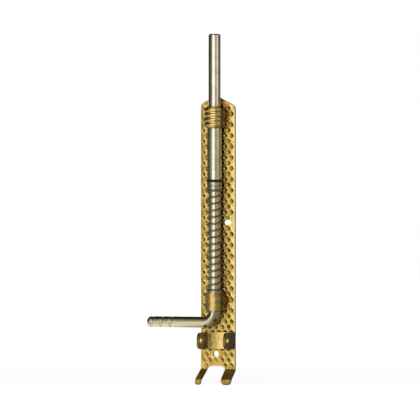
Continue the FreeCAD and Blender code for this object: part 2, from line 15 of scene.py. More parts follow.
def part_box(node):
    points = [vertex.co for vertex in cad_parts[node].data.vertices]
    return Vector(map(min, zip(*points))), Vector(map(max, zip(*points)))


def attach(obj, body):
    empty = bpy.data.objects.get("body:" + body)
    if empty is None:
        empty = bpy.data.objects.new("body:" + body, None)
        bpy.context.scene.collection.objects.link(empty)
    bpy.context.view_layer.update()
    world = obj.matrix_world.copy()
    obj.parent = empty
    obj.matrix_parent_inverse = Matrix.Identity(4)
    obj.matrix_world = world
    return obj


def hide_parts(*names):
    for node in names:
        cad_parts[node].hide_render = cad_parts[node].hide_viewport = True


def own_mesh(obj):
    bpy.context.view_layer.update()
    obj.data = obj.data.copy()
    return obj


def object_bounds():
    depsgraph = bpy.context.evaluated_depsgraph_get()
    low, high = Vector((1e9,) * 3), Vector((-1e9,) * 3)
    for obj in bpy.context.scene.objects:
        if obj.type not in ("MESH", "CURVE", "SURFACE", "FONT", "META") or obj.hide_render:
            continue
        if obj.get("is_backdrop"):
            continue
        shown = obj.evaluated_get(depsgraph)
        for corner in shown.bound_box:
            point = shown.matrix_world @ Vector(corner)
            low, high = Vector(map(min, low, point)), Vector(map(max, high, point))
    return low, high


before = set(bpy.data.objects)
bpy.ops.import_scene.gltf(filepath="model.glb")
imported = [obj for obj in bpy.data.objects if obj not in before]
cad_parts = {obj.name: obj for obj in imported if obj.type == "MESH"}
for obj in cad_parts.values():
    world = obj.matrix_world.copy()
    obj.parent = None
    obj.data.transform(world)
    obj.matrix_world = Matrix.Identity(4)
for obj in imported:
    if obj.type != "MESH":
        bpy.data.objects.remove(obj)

log = logging.getLogger("door_bolt")

Tree = bpy.types.NodeTree
Socket = bpy.types.NodeSocket

MM = 0.001
# Points nearer to each other than this are one point, in metres.
SAME_POINT = 0.001 * MM
# Edges that turn by more than this many degrees stay sharp.
SHARP_ANGLE = 38.0
# A noise texture keeps nearly all its values between these two.
NOISE = (0.3, 0.7)
# Rays that look for close neighbours round a point of a finish.
CORNER_SAMPLES = 12
# A colour mix node's sockets: its share, both colours and the result.
MIX_SHARE, MIX_FROM, MIX_TO, MIX_OUT = 0, 6, 7, 2


class Body(Enum):
    """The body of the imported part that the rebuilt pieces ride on."""

    PLATE = "plate_assembly"


class Slot(Enum):
    """The record's material slots of the rebuilt pieces."""

    SHEET = "yellow_passivated_sheet"
    WIRE = "plated_spring_wire"


class Mark(Enum):
    """The point values that tell the sheet's finish where the press went."""

    # Where the hollows are browner, partly a thicker film and partly painted shade.
    HOLLOW = "hollow"
    # Where the raised rims get a painted highlight.
    RIM = "rim"


def linear(hex_colour: str) -> tuple[float, float, float, float]:
    """Turns an sRGB hex colour to linear light, by the curve of that standard.

    Args:
        hex_colour: The colour as "#RRGGBB".

    Returns:
        Red, green, blue and an alpha of 1.
    """
    parts = [int(hex_colour[i:i + 2], 16) / 255 for i in (1, 3, 5)]
    red, green, blue = [p / 12.92 if p <= 0.04045 else ((p + 0.055) / 1.055) ** 2.4 for p in parts]
    return red, green, blue, 1.0


def add_node(
    tree: Tree,
    kind: str,
    settings: dict[str | int, object] | None = None,
    links: dict[str | int, Socket] | None = None,
    stops: list[tuple[float, tuple[float, ...]]] | None = None,
) -> bpy.types.Node:
    """Adds one node with its settings and links.

    Args:
        tree: The node tree that gets the node.
        kind: The node's type name.
        settings: Values by property name, or by socket name or number.
        links: Output sockets by the name or number of the input that they feed.
        stops: Places and colours of a colour ramp, where the node has one.

    Returns:
        The new node.
    """
    node = tree.nodes.new(kind)
    for key, value in (settings or {}).items():
        if isinstance(key, int) or key in node.inputs:
            node.inputs[key].default_value = value
        else:
            setattr(node, key, value)
    for key, socket in (links or {}).items():
        tree.links.new(socket, node.inputs[key])
    if stops:
        ramp = node.color_ramp.elements
        while len(ramp) < len(stops):
            ramp.new(1.0)
        for element, (place, colour) in zip(ramp, stops):
            element.position = place
            element.color = colour
    return node


def between(
    source: tuple[float, ...], target: tuple[float, ...] = (0.0, 1.0),
) -> dict[str, float]:
    """Gives the settings with which one range of values is mapped to another.

    Args:
        source: Where the incoming values start and end.
        target: What those two become.

    Returns:
        The settings by socket name.
    """
    (low, high), (first, last) = source, target
    return {"From Min": low, "From Max": high, "To Min": first, "To Max": last}


def new_material(name: str) -> tuple[bpy.types.Material, Tree, bpy.types.Node]:
    """Makes a material with one principled shader wired to its output.

    Args:
        name: The material's name.

    Returns:
        The material, its node tree and the shader node.
    """
    material = bpy.data.materials.new(name)
    material.use_nodes = True
    tree = material.node_tree
    tree.nodes.clear()
    output = add_node(tree, "ShaderNodeOutputMaterial")
    shader = add_node(tree, "ShaderNodeBsdfPrincipled")
    tree.links.new(shader.outputs[0], output.inputs["Surface"])
    return material, tree, shader


def new_object(name: str, data: bpy.types.ID) -> bpy.types.Object:
    """Makes an object and puts it into the scene.

    Args:
        name: The object's name.
        data: Its mesh, lamp or camera.

    Returns:
        The object.
    """
    thing = bpy.data.objects.new(name, data)
    bpy.context.scene.collection.objects.link(thing)
    return thing


@dataclass(frozen=True)
class PlatedSteel:
    """Zinc-plated steel: what its finishes share.

    Painted shade darkens the corners, most where little round a place is open, and a noise
    moves the roughness over its spread.
    """

    name: str
    roughness: float
    rough_spread: tuple[float, float]
    corner_mm: float
    corner_open: tuple[float, float]
    corner_most: float

    def corner_shade_share(self, tree: Tree) -> Socket:
        """Adds nodes that tell how much painted shade a place in a corner gets.

        Args:
            tree: The node tree.

        Returns:
            A value from 0 in the open up to the most in a corner.
        """
        corner = add_node(
            tree, "ShaderNodeAmbientOcclusion",
            {"samples": CORNER_SAMPLES, "Distance": self.corner_mm * MM},
        )
        return add_node(
            tree, "ShaderNodeMapRange", between(self.corner_open, (self.corner_most, 0.0)),
            {"Value": corner.outputs["AO"]},
        ).outputs["Result"]

    def roughen(self, tree: Tree, shader: bpy.types.Node, noise: Socket) -> None:
        """Adds a node that moves the roughness with a noise.

        Args:
            tree: The node tree.
            shader: The shader that it feeds.
            noise: The noise.
        """
        smooth, rough = (self.roughness + by for by in self.rough_spread)
        moved = add_node(
            tree, "ShaderNodeMapRange", between(NOISE, (smooth, rough)), {"Value": noise},
        )
        tree.links.new(moved.outputs["Result"], shader.inputs["Roughness"])


@dataclass(frozen=True)
class YellowPassivatedSheet(PlatedSteel):
    """Pressed steel sheet, zinc-plated and yellow-passivated.

    The passivate is a thin interference film, so the gold drifts to straw, olive and rose
    over some centimetres. The hollows are browner, partly from a thicker film and partly as
    painted shade. Inside corners, faces bent away from the front and ends that stand forward
    of it are darkened by painted shade, and raised rims get a painted highlight. The press
    leaves slow waves that break the reflections up.
    """

    # The film's colours, where rose, gold, gold again, straw and olive lie on its drift, and
    # how far apart the film's thick and thin places are.
    gold: str = "#F4D374"
    straw: str = "#E6CE76"
    olive: str = "#CFBE68"
    rose: str = "#D99A5C"
    tone_places: tuple[float, ...] = (0.33, 0.43, 0.56, 0.66, 0.78)
    drift_mm: float = 26.0
    # Small blotches, and how far down they shade the film.
    mottle_mm: float = 4.5
    blotch: float = 0.8
    # The painted highlight of the raised rims, then the brown of the hollows, partly a thicker
    # film and partly painted shade, and the painted shade of corners, both rusty in places.
    rim: str = "#F7DC8C"
    hollow: str = "#744E18"
    tarnish: str = "#B27024"
    tarnish_mottle: tuple[float, float] = (0.5, 0.66)
    tarnish_share: float = 0.8
    # Hollows are filled by this least share where the drift is low, and fully where high.
    least_fill: float = 0.6
    fill_drift: tuple[float, float] = (0.4, 0.6)
    # Painted shade in inside corners: its reach, the openness over which it fades, and its most.
    corner_mm: float = 7.5
    corner_open: tuple[float, float] = (0.4, 0.88)
    corner_most: float = 0.95
    # Painted shade on faces that turn from the front, and on ends forward of a place.
    shade_brown: str = "#4C2E10"
    side_shade_share: float = 1.4
    side_facing: tuple[float, float] = (0.1, 0.95)
    forward_shade_mm: float = -18.0
    forward_shade_blend_mm: float = 2.0
    forward_shade_share: float = 0.35
    # A darker painted shade, growing from none at the first depth to its share at the second.
    deep_shade: str = "#22140A"
    deep_shade_mm: tuple[float, float] = (0.0, 1.0)
    deep_shade_share: float = 0.85
    # Roughness and how far blotches move it, then the relief of waves and grain. The real
    # grain is under 0.1 mm and is drawn coarser, so that it shows.
    roughness: float = 0.36
    rough_spread: tuple[float, float] = (-0.06, 0.08)
    wave_mm: float = 8.0
    wave_height_mm: float = 0.5
    grain_mm: float = 0.9
    grain_height_mm: float = 0.04
    grain_strength: float = 0.2
    name: str = "yellow_passivated_sheet"

    def material(self) -> bpy.types.Material:
        """Builds the finish.

        Returns:
            Its material.
        """
        material, tree, shader = new_material(self.name)
        place = add_node(tree, "ShaderNodeTexCoord").outputs["Object"]
        drift = add_node(
            tree, "ShaderNodeTexNoise",
            {"Scale": 1 / (self.drift_mm * MM), "Detail": 3.0, "Roughness": 0.55},
            {"Vector": place},
        ).outputs["Fac"]
        mottle = add_node(
            tree, "ShaderNodeTexNoise",
            {"Scale": 1 / (self.mottle_mm * MM), "Detail": 4.0, "Roughness": 0.6},
            {"Vector": place},
        ).outputs["Fac"]
        shade = add_node(
            tree, "ShaderNodeMapRange", between(NOISE, (self.blotch, 1.0)), {"Value": mottle},
        ).outputs["Result"]
        finish = self.gilt(tree, drift, shade)
        finish = self.darkened_hollows_and_corners(tree, drift, mottle, finish)
        finish = self.painted_side_shade(tree, place, shade, finish)
        tree.links.new(finish, shader.inputs["Base Color"])
        shader.inputs["Metallic"].default_value = 1.0
        self.roughen(tree, shader, mottle)
        self.relieve(tree, shader, place)
        return material

    def gilt(self, tree: Tree, drift: Socket, shade: Socket) -> Socket:
        """Adds nodes for the film's own colour, with a painted highlight on the raised rims.

        Args:
            tree: The node tree.
            drift: The slow change of the film's thickness.
            shade: How far the small blotches darken it.

        Returns:
            The colour.
        """
        tones = (self.rose, self.gold, self.gold, self.straw, self.olive)
        film = add_node(
            tree, "ShaderNodeValToRGB", {}, {"Fac": drift},
            [(place, linear(tone)) for place, tone in zip(self.tone_places, tones)],
        )
        toned = add_node(
            tree, "ShaderNodeMix",
            {"data_type": "RGBA", "blend_type": "MULTIPLY", MIX_SHARE: 1.0},
            {MIX_FROM: film.outputs["Color"], MIX_TO: shade},
        )
        # Painted highlight on the raised rims.
        painted_sheen = add_node(tree, "ShaderNodeAttribute", {"attribute_name": Mark.RIM.value})
        return add_node(
            tree, "ShaderNodeMix", {"data_type": "RGBA", MIX_TO: linear(self.rim)},
            {MIX_SHARE: painted_sheen.outputs["Fac"], MIX_FROM: toned.outputs[MIX_OUT]},
        ).outputs[MIX_OUT]

    def darkened_hollows_and_corners(self, tree: Tree, drift: Socket, mottle: Socket, finish: Socket) -> Socket:
        """Adds nodes for the browner hollows and the painted shade inside corners.

        Args:
            tree: The node tree.
            drift: The slow change along the sheet, by which hollows are more or less filled.
            mottle: The small blotches, which make it rusty in places.
            finish: The colour without them.

        Returns:
            The colour with them.
        """
        pressed = add_node(tree, "ShaderNodeAttribute", {"attribute_name": Mark.HOLLOW.value})
        fill = add_node(
            tree, "ShaderNodeMapRange", between(self.fill_drift, (self.least_fill, 1.0)),
            {"Value": drift},
        )
        filled = add_node(
            tree, "ShaderNodeMath", {"operation": "MULTIPLY"},
            {0: pressed.outputs["Fac"], 1: fill.outputs["Result"]},
        )
        # The larger of the hollows' brown, partly a thicker film and partly painted shade, and the
        # corners' painted shade.
        brown = add_node(
            tree, "ShaderNodeMath", {"operation": "MAXIMUM"},
            {0: filled.outputs[0], 1: self.corner_shade_share(tree)},
        )
        rusty = add_node(
            tree, "ShaderNodeMapRange", between(self.tarnish_mottle, (0.0, self.tarnish_share)),
            {"Value": mottle},
        )
        deposit_and_shade = add_node(
            tree, "ShaderNodeMix",
            {"data_type": "RGBA", MIX_FROM: linear(self.hollow), MIX_TO: linear(self.tarnish)},
            {MIX_SHARE: rusty.outputs["Result"]},
        )
        return add_node(
            tree, "ShaderNodeMix", {"data_type": "RGBA"},
            {MIX_SHARE: brown.outputs[0], MIX_FROM: finish, MIX_TO: deposit_and_shade.outputs[MIX_OUT]},
        ).outputs[MIX_OUT]

    def painted_side_shade(self, tree: Tree, place: Socket, shade: Socket, finish: Socket) -> Socket:
        """Adds nodes that paint shade on the faces turned from the front and on the forward ends.

        Args:
            tree: The node tree.
            place: The place on the sheet.
            shade: How far the small blotches thin the brown.
            finish: The colour of the front.

        Returns:
            The colour all over.
        """
        normal = add_node(
            tree, "ShaderNodeSeparateXYZ", {},
            {0: add_node(tree, "ShaderNodeNewGeometry").outputs["Normal"]},
        )
        facing = add_node(
            tree, "ShaderNodeMath", {"operation": "ABSOLUTE"}, {0: normal.outputs["Y"]},
        )
        # Painted shade on faces turned from the front.
        bent = add_node(
            tree, "ShaderNodeMapRange", between(self.side_facing, (self.side_shade_share, 0.0)),
            {"Value": facing.outputs[0]},
        )
        depth = add_node(tree, "ShaderNodeSeparateXYZ", {}, {0: place}).outputs["Y"]
        # Painted shade on ends forward of a depth.
        end, inner = self.forward_shade_mm * MM, (self.forward_shade_mm + self.forward_shade_blend_mm) * MM
        forward_shade = add_node(
            tree, "ShaderNodeMapRange", between((end, inner), (self.forward_shade_share, 0.0)),
            {"Value": depth},
        )
        # Darker painted shade towards the plate, between two depths.
        thin, thick = (depth_mm * MM for depth_mm in self.deep_shade_mm)
        deep_shaded = add_node(
            tree, "ShaderNodeMapRange", between((thin, thick), (0.0, self.deep_shade_share)),
            {"Value": depth},
        )
        shade_colour = add_node(
            tree, "ShaderNodeMix",
            {"data_type": "RGBA", MIX_FROM: linear(self.shade_brown), MIX_TO: linear(self.deep_shade)},
            {MIX_SHARE: deep_shaded.outputs["Result"]},
        )
        most = add_node(
            tree, "ShaderNodeMath", {"operation": "MAXIMUM"},
            {0: bent.outputs["Result"], 1: forward_shade.outputs["Result"]},
        )
        brown = add_node(
            tree, "ShaderNodeMath", {"operation": "MULTIPLY"}, {0: most.outputs[0], 1: shade},
        )
        return add_node(
            tree, "ShaderNodeMix", {"data_type": "RGBA"},
            {MIX_SHARE: brown.outputs[0], MIX_FROM: finish, MIX_TO: shade_colour.outputs[MIX_OUT]},
        ).outputs[MIX_OUT]

    def relieve(self, tree: Tree, shader: bpy.types.Node, place: Socket) -> None:
        """Adds nodes for the press's waves and the plating's grain.

        Args:
            tree: The node tree.
            shader: The shader that they feed.
            place: The place on the sheet.
        """
        grain = add_node(
            tree, "ShaderNodeTexNoise",
            {"Scale": 1 / (self.grain_mm * MM), "Detail": 2.0}, {"Vector": place},
        )
        wave = add_node(
            tree, "ShaderNodeTexNoise",
            {"Scale": 1 / (self.wave_mm * MM), "Detail": 1.0}, {"Vector": place},
        )
        waves = add_node(
            tree, "ShaderNodeBump", {"Strength": 1.0, "Distance": self.wave_height_mm * MM},
            {"Height": wave.outputs["Fac"]},
        )
        bump = add_node(
            tree, "ShaderNodeBump",
            {"Strength": self.grain_strength, "Distance": self.grain_height_mm * MM},
            {"Height": grain.outputs["Fac"], "Normal": waves.outputs["Normal"]},
        )
        tree.links.new(bump.outputs["Normal"], shader.inputs["Normal"])


@dataclass(frozen=True)
class ZincPlatedBar(PlatedSteel):
    """Cold-drawn and ground steel bar under bright zinc.

    Grinding leaves fine rings round the bar, and the zinc gives a warm silver with a soft
    bloom, so highlights are bright but a little spread. A length that the spring rides on
    is darker and greener, partly from oil and partly as painted shade. Painted shade also
    darkens the bar where it faces another piece closely.
    """

    # The zinc's colours, and where the darker and the lighter one lie on its bloom.
    silver: str = "#E4DCC8"
    shade: str = "#CFC6AE"
    bloom_mm: float = 16.0
    bloom_places: tuple[float, float] = (0.35, 0.62)
    # The darker length, partly oil and partly painted shade, from its lower to its upper end,
    # and the width of its edges.
    oil_and_shade: str = "#DAD1AE"
    oil_and_shade_mm: tuple[float, float] | None = None
    oil_and_shade_edge_mm: float = 2.0
    # Painted shade where the bar faces another piece closely, and how far round it reaches.
    corner_shade: str = "#625A40"
    corner_mm: float = 9.0
    corner_open: tuple[float, float] = (0.45, 0.9)
    corner_most: float = 0.85
    # The grinding rings, which are drawn out across the bar, and how they move the roughness.
    # The real ones are under 0.1 mm apart and are drawn wider, so that they show.
    ring_mm: float = 3.0
    ring_stretch: float = 0.3
    ring_height_mm: float = 0.01
    ring_strength: float = 0.05
    roughness: float = 0.18
    rough_spread: tuple[float, float] = (-0.02, 0.05)
    name: str = "zinc_plated_bar"

    def material(self) -> bpy.types.Material:
        """Builds the finish.

        Returns:
            Its material.
        """
        material, tree, shader = new_material(self.name)
        place = add_node(tree, "ShaderNodeTexCoord").outputs["Object"]
        bloom = add_node(
            tree, "ShaderNodeTexNoise",
            {"Scale": 1 / (self.bloom_mm * MM), "Detail": 4.0, "Roughness": 0.6},
            {"Vector": place},
        )
        dark_place, light_place = self.bloom_places
        finish = add_node(
            tree, "ShaderNodeValToRGB", {}, {"Fac": bloom.outputs["Fac"]},
            [(dark_place, linear(self.shade)), (light_place, linear(self.silver))],
        ).outputs["Color"]
        if self.oil_and_shade_mm:
            finish = self.oiled_and_shaded(tree, place, finish)
        # Painted shade where the bar faces another piece closely.
        corner_shaded = add_node(
            tree, "ShaderNodeMix", {"data_type": "RGBA", MIX_TO: linear(self.corner_shade)},
            {MIX_SHARE: self.corner_shade_share(tree), MIX_FROM: finish},
        )
        tree.links.new(corner_shaded.outputs[MIX_OUT], shader.inputs["Base Color"])
        shader.inputs["Metallic"].default_value = 1.0
        self.relieve(tree, shader, place)
        return material

    def oiled_and_shaded(self, tree: Tree, place: Socket, finish: Socket) -> Socket:
        """Adds nodes that darken a length, partly for oil and partly as painted shade.

        Args:
            tree: The node tree.
            place: The place on the bar.
            finish: The colour of the bar outside that length.

        Returns:
            The colour with the oil and the painted shade.
        """
        low, high = self.oil_and_shade_mm
        middle, reach = (low + high) / 2 * MM, (high - low) / 2 * MM
        edge = self.oil_and_shade_edge_mm * MM
        along = add_node(tree, "ShaderNodeSeparateXYZ", {}, {0: place})
        offset = add_node(
            tree, "ShaderNodeMath", {"operation": "SUBTRACT", 1: middle}, {0: along.outputs["Z"]},
        )
        away = add_node(
            tree, "ShaderNodeMath", {"operation": "ABSOLUTE"}, {0: offset.outputs[0]},
        )
        oil_and_shade_share = add_node(
            tree, "ShaderNodeMapRange", between((reach - edge, reach + edge), (1.0, 0.0)),
            {"Value": away.outputs[0]},
        )
        return add_node(
            tree, "ShaderNodeMix", {"data_type": "RGBA", MIX_TO: linear(self.oil_and_shade)},
            {MIX_SHARE: oil_and_shade_share.outputs["Result"], MIX_FROM: finish},
        ).outputs[MIX_OUT]

    def relieve(self, tree: Tree, shader: bpy.types.Node, place: Socket) -> None:
        """Adds nodes for the grinding rings and the roughness that goes with them.

        Args:
            tree: The node tree.
            shader: The shader that they feed.
            place: The place on the bar.
        """
        drawn_out = add_node(
            tree, "ShaderNodeMapping", {"Scale": (self.ring_stretch, self.ring_stretch, 1.0)},
            {"Vector": place},
        )
        rings = add_node(
            tree, "ShaderNodeTexNoise",
            {"Scale": 1 / (self.ring_mm * MM), "Detail": 2.0, "Roughness": 0.5},
            {"Vector": drawn_out.outputs["Vector"]},
        )
        self.roughen(tree, shader, rings.outputs["Fac"])
        bump = add_node(
            tree, "ShaderNodeBump",
            {"Strength": self.ring_strength, "Distance": self.ring_height_mm * MM},
            {"Height": rings.outputs["Fac"]},
        )
        tree.links.new(bump.outputs["Normal"], shader.inputs["Normal"])


@dataclass(frozen=True)
class MouldedNylon:
    """Black injection-moulded nylon, with the faint leathery skin that a mould gives it.

    The skin's real grit is about 0.1 mm and is drawn coarser, so that it shows.
    """

    black: str = "#16140F"
    roughness: float = 0.45
    ior: float = 1.53
    skin_mm: float = 0.6
    skin_height_mm: float = 0.03
    skin_strength: float = 0.3
    name: str = "moulded_nylon"

    def material(self) -> bpy.types.Material:
        """Builds the finish.

        Returns:
            Its material.
        """
        material, tree, shader = new_material(self.name)
        shader.inputs["Base Color"].default_value = linear(self.black)
        shader.inputs["Roughness"].default_value = self.roughness
        shader.inputs["IOR"].default_value = self.ior
        place = add_node(tree, "ShaderNodeTexCoord").outputs["Object"]
        skin = add_node(
            tree, "ShaderNodeTexNoise",
            {"Scale": 1 / (self.skin_mm * MM), "Detail": 2.0}, {"Vector": place},
        )
        bump = add_node(
            tree, "ShaderNodeBump",
            {"Strength": self.skin_strength, "Distance": self.skin_height_mm * MM},
            {"Height": skin.outputs["Fac"]},
        )
        tree.links.new(bump.outputs["Normal"], shader.inputs["Normal"])
        return material


def dress(node: str, material: bpy.types.Material) -> None:
    """Gives a carried-over node its finish and leaves its mesh as it is.

    Args:
        node: The node's name.
        material: The finish.
    """
    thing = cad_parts[node]
    thing.data.materials.clear()
    thing.data.materials.append(material)
    log.info("dressed %s", node)


def new_piece(name: str, mesh: bpy.types.Mesh, material: bpy.types.Material) -> bpy.types.Object:
    """Makes an object of a mesh, smooth but for its steep edges and those marked sharp.

    Args:
        name: The piece's name.
        mesh: Its mesh, in the row frame.
        material: Its finish.

    Returns:
        The object.
    """
    marked = [edge.index for edge in mesh.edges if edge.use_edge_sharp]
    mesh.shade_smooth()
    mesh.set_sharp_from_angle(angle=math.radians(SHARP_ANGLE))
    for index in marked:
        mesh.edges[index].use_edge_sharp = True
    mesh.materials.append(material)
    thing = new_object(name, mesh)
    log.info("made %s with %d faces", name, len(mesh.polygons))
    return thing


class Ring(NamedTuple):
    """A ring of points round a dimple's middle: its size, and what its points are marked."""

    radius: float
    depth: float
    hollow: float
    painted_sheen: float


@dataclass
class FrontPoints:
    """What the plate's new front is triangulated from, in millimetres across and up.

    Each point carries how deep it lies behind the front, how hollow it is and how much painted
    highlight it gets.
    """

    points: list[Vector]
    edges: list[tuple[int, int]]
    marks: list[tuple[float, float, float]]


@dataclass
class PlateAssembly:
    """The plate with its pressed dimples, and the guides and catch that it carries.

    The dimples stand in two interleaved sets of columns. All lengths are in millimetres.
    """

    sheet: YellowPassivatedSheet = YellowPassivatedSheet()
    straps: YellowPassivatedSheet = YellowPassivatedSheet(
        gold="#EACC7E", straw="#DEC880", olive="#C9B870", rose="#E2B27C", shade_brown="#604C26",
        blotch=0.9, corner_mm=4.0, side_shade_share=1.0, forward_shade_share=0.0, roughness=0.27,
        name="yellow_passivated_straps",
    )
    # The lower guide's darker copy of the straps' finish is painted shade.
    shaded_lower_strap: YellowPassivatedSheet = YellowPassivatedSheet(
        gold="#D0B26A", straw="#C4AE6C", olive="#B0A05E", rose="#C89C68", shade_brown="#604C26",
        blotch=0.85, corner_mm=4.0, side_shade_share=1.0, forward_shade_share=0.0, roughness=0.27,
        name="yellow_passivated_lower_strap",
    )
    # The catch's ears get painted shade on their forward ends and darker painted shade towards the
    # plate.
    catch: YellowPassivatedSheet = YellowPassivatedSheet(
        gold="#FBE08C", straw="#F0DA8E", olive="#DFCD80", rose="#F2C48A", shade_brown="#664A1E",
        blotch=0.92, corner_mm=3.0, side_shade_share=1.0, forward_shade_mm=-33.5, forward_shade_share=0.9,
        deep_shade_mm=(-27.0, -15.0), roughness=0.34, name="yellow_passivated_catch",
    )
    # The flat front's place, and how far a point may lie off it.
    front: float = -3.0
    front_slack: float = 0.002
    # A face belongs to the flat front or back where its normal reaches this far along Y.
    level_facing: float = 0.9999
    pitch_across: float = 9.1
    row_step: float = 7.345
    first_across: float = -16.1
    first_up: float = -0.93
    # A dimple is taller than wide by the stretch, and squarish by its corner share.
    dimple_radius: float = 2.6
    dimple_stretch: float = 1.2
    dimple_corner: float = 0.16
    dimple_depth: float = 0.9
    rim_height: float = 0.2
    # A dimple with less room than this share of its size is left out.
    least_share: float = 0.5
    sides: int = 16
    # Points nearer than this are merged as the front is triangulated.
    merge_reach: float = 1e-6

    def build(self) -> None:
        """Dresses the pressed parts and replaces the plate by the dimpled one."""
        dress("upper_guide", self.straps.material())
        dress("lower_guide", self.shaded_lower_strap.material())
        dress("catch_bracket", self.catch.material())
        plate = new_piece("dimpled_plate", self.dimpled_mesh(), self.sheet.material())
        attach(plate, Body.PLATE.value)
        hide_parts("backplate")

    def rings(self) -> list[Ring]:
        """Lists the rings of a full-sized dimple, from the raised rim to the bottom.

        Returns:
            The rings.
        """
        radius, depth, proud = self.dimple_radius, self.dimple_depth, self.rim_height
        # Each ring's last value is its share of painted highlight.
        return [
            Ring(radius * 1.36, 0.0, 0.0, 0.0),
            Ring(radius * 1.22, -proud, 0.0, 1.0),
            Ring(radius * 1.08, -proud * 0.5, 0.0, 0.6),
            Ring(radius * 0.88, depth * 0.3, 0.5, 0.0),
            Ring(radius * 0.56, depth * 0.85, 0.95, 0.0),
            Ring(radius * 0.22, depth, 1.0, 0.0),
        ]

    def centres(self, low: Vector, high: Vector) -> list[tuple[float, float]]:
        """Lists the lattice of dimples that covers a rectangle.

        Args:
            low: Its lowest corner, in millimetres across and up.
            high: Its highest corner.

        Returns:
            The dimples' places across and up.
        """
        places = []
        first = math.floor((low[1] - self.first_up) / self.row_step)
        last = math.ceil((high[1] - self.first_up) / self.row_step)
        for row in range(first, last + 1):
            start = self.first_across + self.pitch_across / 2 * (row % 2)
            up = self.first_up + row * self.row_step
            for column in range(-1, int((high[0] - low[0]) / self.pitch_across) + 2):
                places.append((start + column * self.pitch_across, up))
        return places

    def press_dimples(self, front: FrontPoints, ends: np.ndarray) -> None:
        """Adds the rings of every dimple that has room to the points of the front.

        Args:
            front: The points, which hold the outline and the holes so far.
            ends: Outline and holes as pairs of points.
        """
        widest = self.rings()[0].radius * (1 + self.dimple_corner) * self.dimple_stretch
        low, high = ends.min((0, 1)), ends.max((0, 1))
        for across, up in self.centres(Vector(low), Vector(high)):
            place = np.array((across, up))
            share = min(edge_distance(place, ends) / widest, 1.0)
            if share < self.least_share or not inside(place[None, :], ends)[0]:
                continue
            for ring in self.rings():
                base = len(front.points)
                for side in range(self.sides):
                    angle = 2 * math.pi * side / self.sides
                    reach = share * ring.radius * (1 + self.dimple_corner * math.cos(4 * angle))
                    front.points.append(Vector((
                        across + reach * math.cos(angle),
                        up + reach * self.dimple_stretch * math.sin(angle),
                    )))
                    front.edges.append((base + side, base + (side + 1) % self.sides))
                    front.marks.append((ring.depth * share, ring.hollow, ring.painted_sheen))

    def fill_front(self, shape: bmesh.types.BMesh, front: FrontPoints, ends: np.ndarray) -> None:
        """Fills the plate's open front with the pressed one.

        Args:
            shape: The plate without its front face.
            front: The points and edges of the new front.
            ends: Outline and holes as pairs of points.
        """
        flat, _, faces, origins, _, _ = delaunay_2d_cdt(
            front.points, front.edges, [], 0, self.merge_reach,
        )
        places = np.array([tuple(p) for p in flat])
        kept = inside(np.array([places[list(face)].mean(0) for face in faces]), ends)
        hollow_layer = shape.verts.layers.float.new(Mark.HOLLOW.value)
        rim_layer = shape.verts.layers.float.new(Mark.RIM.value)
        verts = []
        for place, origin in zip(flat, origins):
            depth, hollow, painted_sheen = front.marks[origin[0]] if origin else (0.0, 0.0, 0.0)
            vert = shape.verts.new((place[0] * MM, (self.front + depth) * MM, place[1] * MM))
            vert[hollow_layer] = hollow
            vert[rim_layer] = painted_sheen
            verts.append(vert)
        for face, keep in zip(faces, kept):
            if keep:
                shape.faces.new([verts[i] for i in face])
        bmesh.ops.remove_doubles(shape, verts=shape.verts, dist=SAME_POINT)
        while split_seam(shape):
            log.info("closed a seam of the plate's front")
        loose = [v for v in shape.verts if not v.link_faces]
        bmesh.ops.delete(shape, geom=loose, context="VERTS")
        bmesh.ops.recalc_face_normals(shape, faces=shape.faces)
        for edge in shape.edges:
            level = {abs(face.normal.y) > self.level_facing for face in edge.link_faces}
            pressed = any(v[rim_layer] for face in edge.link_faces for v in face.verts)
            if len(level) == 2 and not pressed:
                edge.smooth = False

    def dimpled_mesh(self) -> bpy.types.Mesh:
        """Rebuilds the plate with its front face pressed, its outline and holes as they are.

        Returns:
            The mesh, with a point value "hollow" in the dimples and "rim" round them.
        """
        shape = bmesh.new()
        shape.from_mesh(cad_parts["backplate"].data)
        bmesh.ops.remove_doubles(shape, verts=shape.verts, dist=SAME_POINT)
        old = [
            f for f in shape.faces
            if all(abs(v.co.y / MM - self.front) < self.front_slack for v in f.verts)
        ]
        chosen = set(old)
        rim = [e for e in shape.edges if sum(f in chosen for f in e.link_faces) == 1]
        corners = sorted({v for e in rim for v in e.verts}, key=lambda v: v.index)
        number = {v: i for i, v in enumerate(corners)}
        outline = np.array([(v.co.x / MM, v.co.z / MM) for v in corners])
        front = FrontPoints(
            points=[Vector(p) for p in outline],
            edges=[(number[e.verts[0]], number[e.verts[1]]) for e in rim],
            marks=[(0.0, 0.0, 0.0)] * len(corners),
        )
        ends = np.array([(outline[a], outline[b]) for a, b in front.edges])
        self.press_dimples(front, ends)
        bmesh.ops.delete(shape, geom=old, context="FACES_ONLY")
        self.fill_front(shape, front, ends)
        mesh = bpy.data.meshes.new("dimpled_plate")
        shape.to_mesh(mesh)
        shape.free()
        return mesh


def split_seam(shape: bmesh.types.BMesh) -> bool:
    """Splits one triangle whose open edge runs past a point that its neighbours share.

    Args:
        shape: The mesh.

    Returns:
        Whether there was such an edge.
    """
    seams = [edge for edge in shape.edges if len(edge.link_faces) == 1]
    ends = dict.fromkeys(vert for edge in seams for vert in edge.verts)
    for edge in seams:
        first, last = edge.verts
        run = last.co - first.co
        for middle in ends:
            if middle in (first, last):
                continue
            share = (middle.co - first.co).dot(run) / run.length_squared
            off_line = (middle.co - first.co - run * share).length
            if 0 < share < 1 and off_line < SAME_POINT:
                face = edge.link_faces[0]
                apex = next(vert for vert in face.verts if vert not in (first, last))
                shape.faces.new((first, middle, apex))
                shape.faces.new((middle, last, apex))
                shape.faces.remove(face)
                shape.edges.remove(edge)
                return True
    return False


